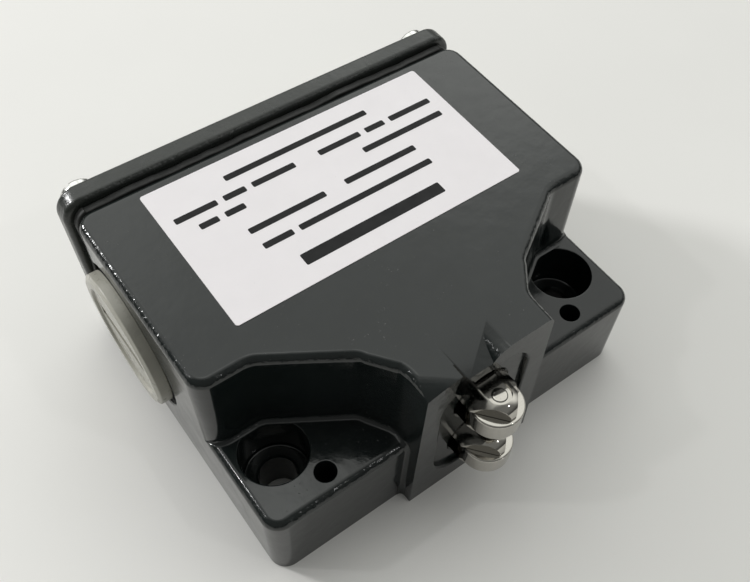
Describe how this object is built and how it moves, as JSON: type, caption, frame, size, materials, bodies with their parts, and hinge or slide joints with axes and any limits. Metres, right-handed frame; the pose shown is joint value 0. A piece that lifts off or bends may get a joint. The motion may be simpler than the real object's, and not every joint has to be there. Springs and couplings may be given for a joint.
{
  "type": "limit switch",
  "caption": "Die-cast limit switch with two sprung roller plungers in a narrow nose, two fixing ears, a screwed end lid and a plugged side cable entry.",
  "frame": {"origin": "on the mounting face, midway between the two fixing holes", "axes": "+Z out of the mounting face towards the label, +X from ear to ear, away from the cable entry, the roller plungers point to -Y and the lid closes the +Y end"},
  "size_m": [0.0779, 0.0716, 0.0363],
  "materials": {
    "housing_paint": "dark slate grey gloss enamel on die-cast alloy",
    "plunger_steel": "polished stainless steel",
    "bright_screw_steel": "bright plated screw heads",
    "zinc_steel": "zinc plated",
    "spring_steel": "drawn spring wire",
    "guide_alloy": "hard anodised, dark",
    "seal_rubber": "matte black rubber",
    "plug_plastic": "light grey moulded plastic",
    "label_film": "white self-adhesive film with plain printed bars",
    "switch_plastic": "black moulded phenolic",
    "button_plastic": "red moulded plastic",
    "contact_brass": "silver-tipped contact brass",
    "separator_card": "insulating sheet"
  },
  "bodies": {
    "housing_body": {"cable_plug": "plug_plastic", "cable_plug_seal": "seal_rubber", "contact_spring_lower": "spring_steel", "contact_spring_upper": "spring_steel", "diaphragm": "seal_rubber", "earth_clamp": "contact_brass", "earth_screw": "zinc_steel", "housing": "housing_paint", "lid": "housing_paint", "lid_gasket": "seal_rubber", "lid_screw_1": "bright_screw_steel", "lid_screw_2": "bright_screw_steel", "lid_screw_3": "bright_screw_steel", "lid_screw_4": "bright_screw_steel", "plunger_guide": "guide_alloy", "rating_label": "label_film", "return_spring_lower": "spring_steel", "return_spring_upper": "spring_steel", "separator_sheet": "separator_card", "spring_plate": "zinc_steel", "spring_plate_screw_left": "zinc_steel", "spring_plate_screw_right": "zinc_steel", "switch_body_lower": "switch_plastic", "switch_body_upper": "switch_plastic", "switch_screw_left": "zinc_steel", "switch_screw_right": "zinc_steel", "terminal_lower_1": "contact_brass", "terminal_lower_2": "contact_brass", "terminal_lower_3": "contact_brass", "terminal_lower_4": "contact_brass", "terminal_screw_lower_1": "zinc_steel", "terminal_screw_lower_2": "zinc_steel", "terminal_screw_lower_3": "zinc_steel", "terminal_screw_lower_4": "zinc_steel", "terminal_screw_upper_1": "zinc_steel", "terminal_screw_upper_2": "zinc_steel", "terminal_screw_upper_3": "zinc_steel", "terminal_screw_upper_4": "zinc_steel", "terminal_upper_1": "contact_brass", "terminal_upper_2": "contact_brass", "terminal_upper_3": "contact_brass", "terminal_upper_4": "contact_brass"},
    "plunger_upper_body": {"plunger_upper": "plunger_steel", "roller_pin_upper": "plunger_steel"},
    "roller_upper_body": {"roller_upper": "plunger_steel"},
    "switch_button_upper_body": {"switch_button_upper": "button_plastic"},
    "contact_bridge_upper_body": {"contact_bridge_upper": "contact_brass"},
    "plunger_lower_body": {"plunger_lower": "plunger_steel", "roller_pin_lower": "plunger_steel"},
    "roller_lower_body": {"roller_lower": "plunger_steel"},
    "switch_button_lower_body": {"switch_button_lower": "button_plastic"},
    "contact_bridge_lower_body": {"contact_bridge_lower": "contact_brass"}
  },
  "joints": [
    {"name": "plunger_upper_slide", "type": "slide", "parent": "housing_body", "child": "plunger_upper_body", "axis": [0, 1, 0], "range_m": [0, 0.005], "stiffness_N_per_m": 2400, "springref_m": -0.004, "deforming": ["return_spring_upper"]},
    {"name": "roller_upper_spin", "type": "hinge", "parent": "plunger_upper_body", "child": "roller_upper_body", "pos_m": [0, -0.0162, 0.0237], "axis": [0, 0, 1], "continuous": true},
    {"name": "switch_button_upper_slide", "type": "slide", "parent": "housing_body", "child": "switch_button_upper_body", "axis": [0, 1, 0], "range_m": [0, 0.005]},
    {"name": "contact_bridge_upper_slide", "type": "slide", "parent": "housing_body", "child": "contact_bridge_upper_body", "axis": [0, 1, 0], "range_m": [0, 0.001], "deforming": ["contact_spring_upper"]},
    {"name": "plunger_lower_slide", "type": "slide", "parent": "housing_body", "child": "plunger_lower_body", "axis": [0, 1, 0], "range_m": [0, 0.005], "stiffness_N_per_m": 2400, "springref_m": -0.004, "deforming": ["return_spring_lower"]},
    {"name": "roller_lower_spin", "type": "hinge", "parent": "plunger_lower_body", "child": "roller_lower_body", "pos_m": [0, -0.0162, 0.0117], "axis": [0, 0, 1], "continuous": true},
    {"name": "switch_button_lower_slide", "type": "slide", "parent": "housing_body", "child": "switch_button_lower_body", "axis": [0, 1, 0], "range_m": [0, 0.005]},
    {"name": "contact_bridge_lower_slide", "type": "slide", "parent": "housing_body", "child": "contact_bridge_lower_body", "axis": [0, 1, 0], "range_m": [0, 0.001], "deforming": ["contact_spring_lower"]}
  ],
  "couplings": [
    {"joint": "switch_button_upper_slide", "follows": "plunger_upper_slide", "ratio": 1},
    {"joint": "contact_bridge_upper_slide", "follows": "plunger_upper_slide", "ratio": 0.2},
    {"joint": "switch_button_lower_slide", "follows": "plunger_lower_slide", "ratio": 1},
    {"joint": "contact_bridge_lower_slide", "follows": "plunger_lower_slide", "ratio": 0.2}
  ]
}
